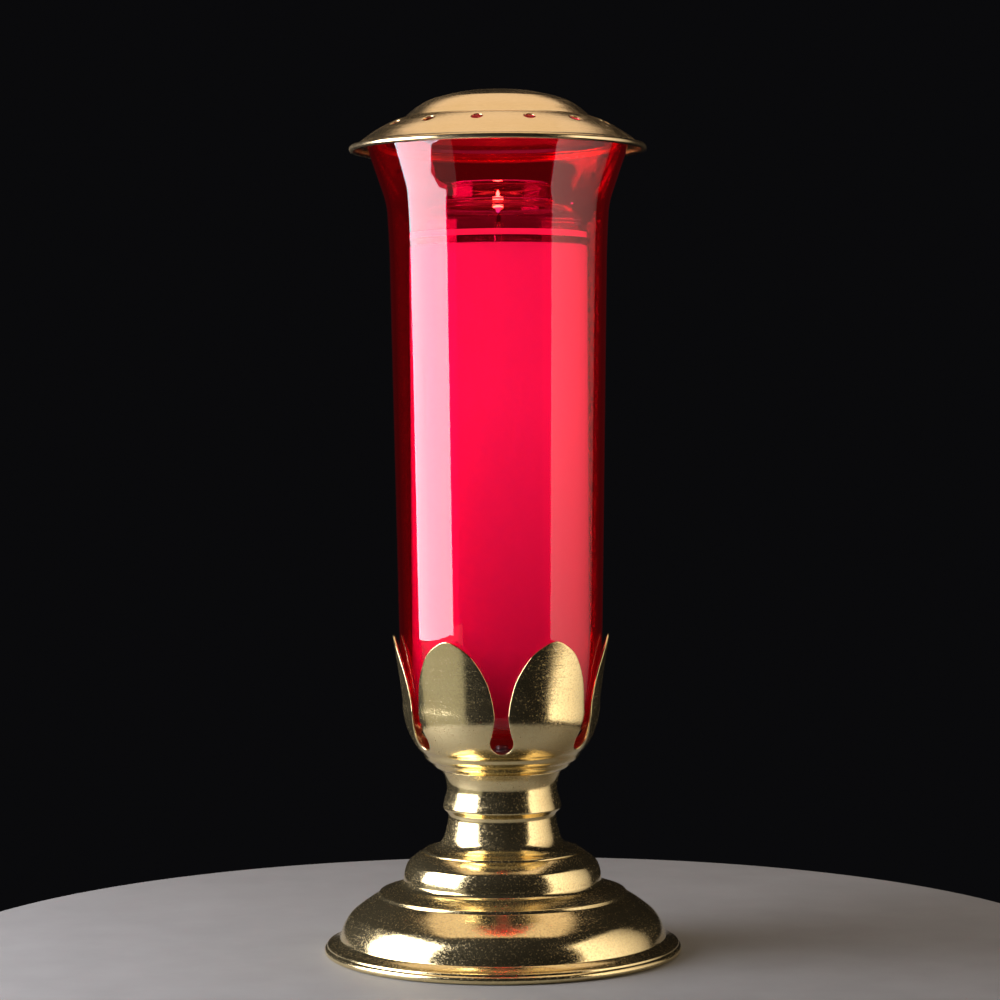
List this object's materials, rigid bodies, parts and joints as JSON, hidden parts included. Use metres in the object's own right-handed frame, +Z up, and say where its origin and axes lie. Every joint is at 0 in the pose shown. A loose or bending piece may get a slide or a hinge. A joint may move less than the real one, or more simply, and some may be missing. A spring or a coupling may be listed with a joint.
{
  "type": "sanctuary lamp",
  "caption": "Standing brass sanctuary lamp: a stepped foot and petal cup hold a flared ruby glass globe with a bottle candle inside, under a pierced vent cap.",
  "frame": {"origin": "centre of the foot's underside, on the surface that the lamp stands on", "axes": "+Z up along the lamp's axis, -Y to the front, where one slit of the petal cup faces"},
  "size_m": [0.1532, 0.1532, 0.3681],
  "materials": {
    "brass": "polished, with fine spinning lines",
    "iron": "rough cast",
    "felt": "felt",
    "steel": "zinc plated",
    "ruby_glass": "clear ruby",
    "bottle": "clear",
    "wax": "white paraffin wax",
    "wick": "braided cotton, charred at the tip",
    "tin": "tinned",
    "flame": "glowing"
  },
  "bodies": {
    "stand": {"base_shell": "brass", "base_weight": "iron", "base_felt": "felt", "stem_shell": "brass", "cup": "brass", "tie_rod": "steel", "cup_washer": "steel", "cup_nut": "steel", "base_washer": "steel", "lock_washer": "steel", "base_nut": "steel"},
    "globe": {"globe": "ruby_glass"},
    "candle": {"candle_bottle": "bottle", "wax": "wax", "wick": "wick", "wick_tab": "tin"},
    "cap": {"cap": "brass"}
  },
  "joints": [
    {"name": "globe_lift", "type": "slide", "parent": "stand", "child": "globe", "axis": [0, 0, 1], "range_m": [0, 0.06]},
    {"name": "candle_lift", "type": "slide", "parent": "globe", "child": "candle", "axis": [0, 0, 1], "range_m": [0, 0.26]},
    {"name": "cap_lift", "type": "slide", "parent": "candle", "child": "cap", "axis": [0, 0, 1], "range_m": [0, 0.05]}
  ]
}
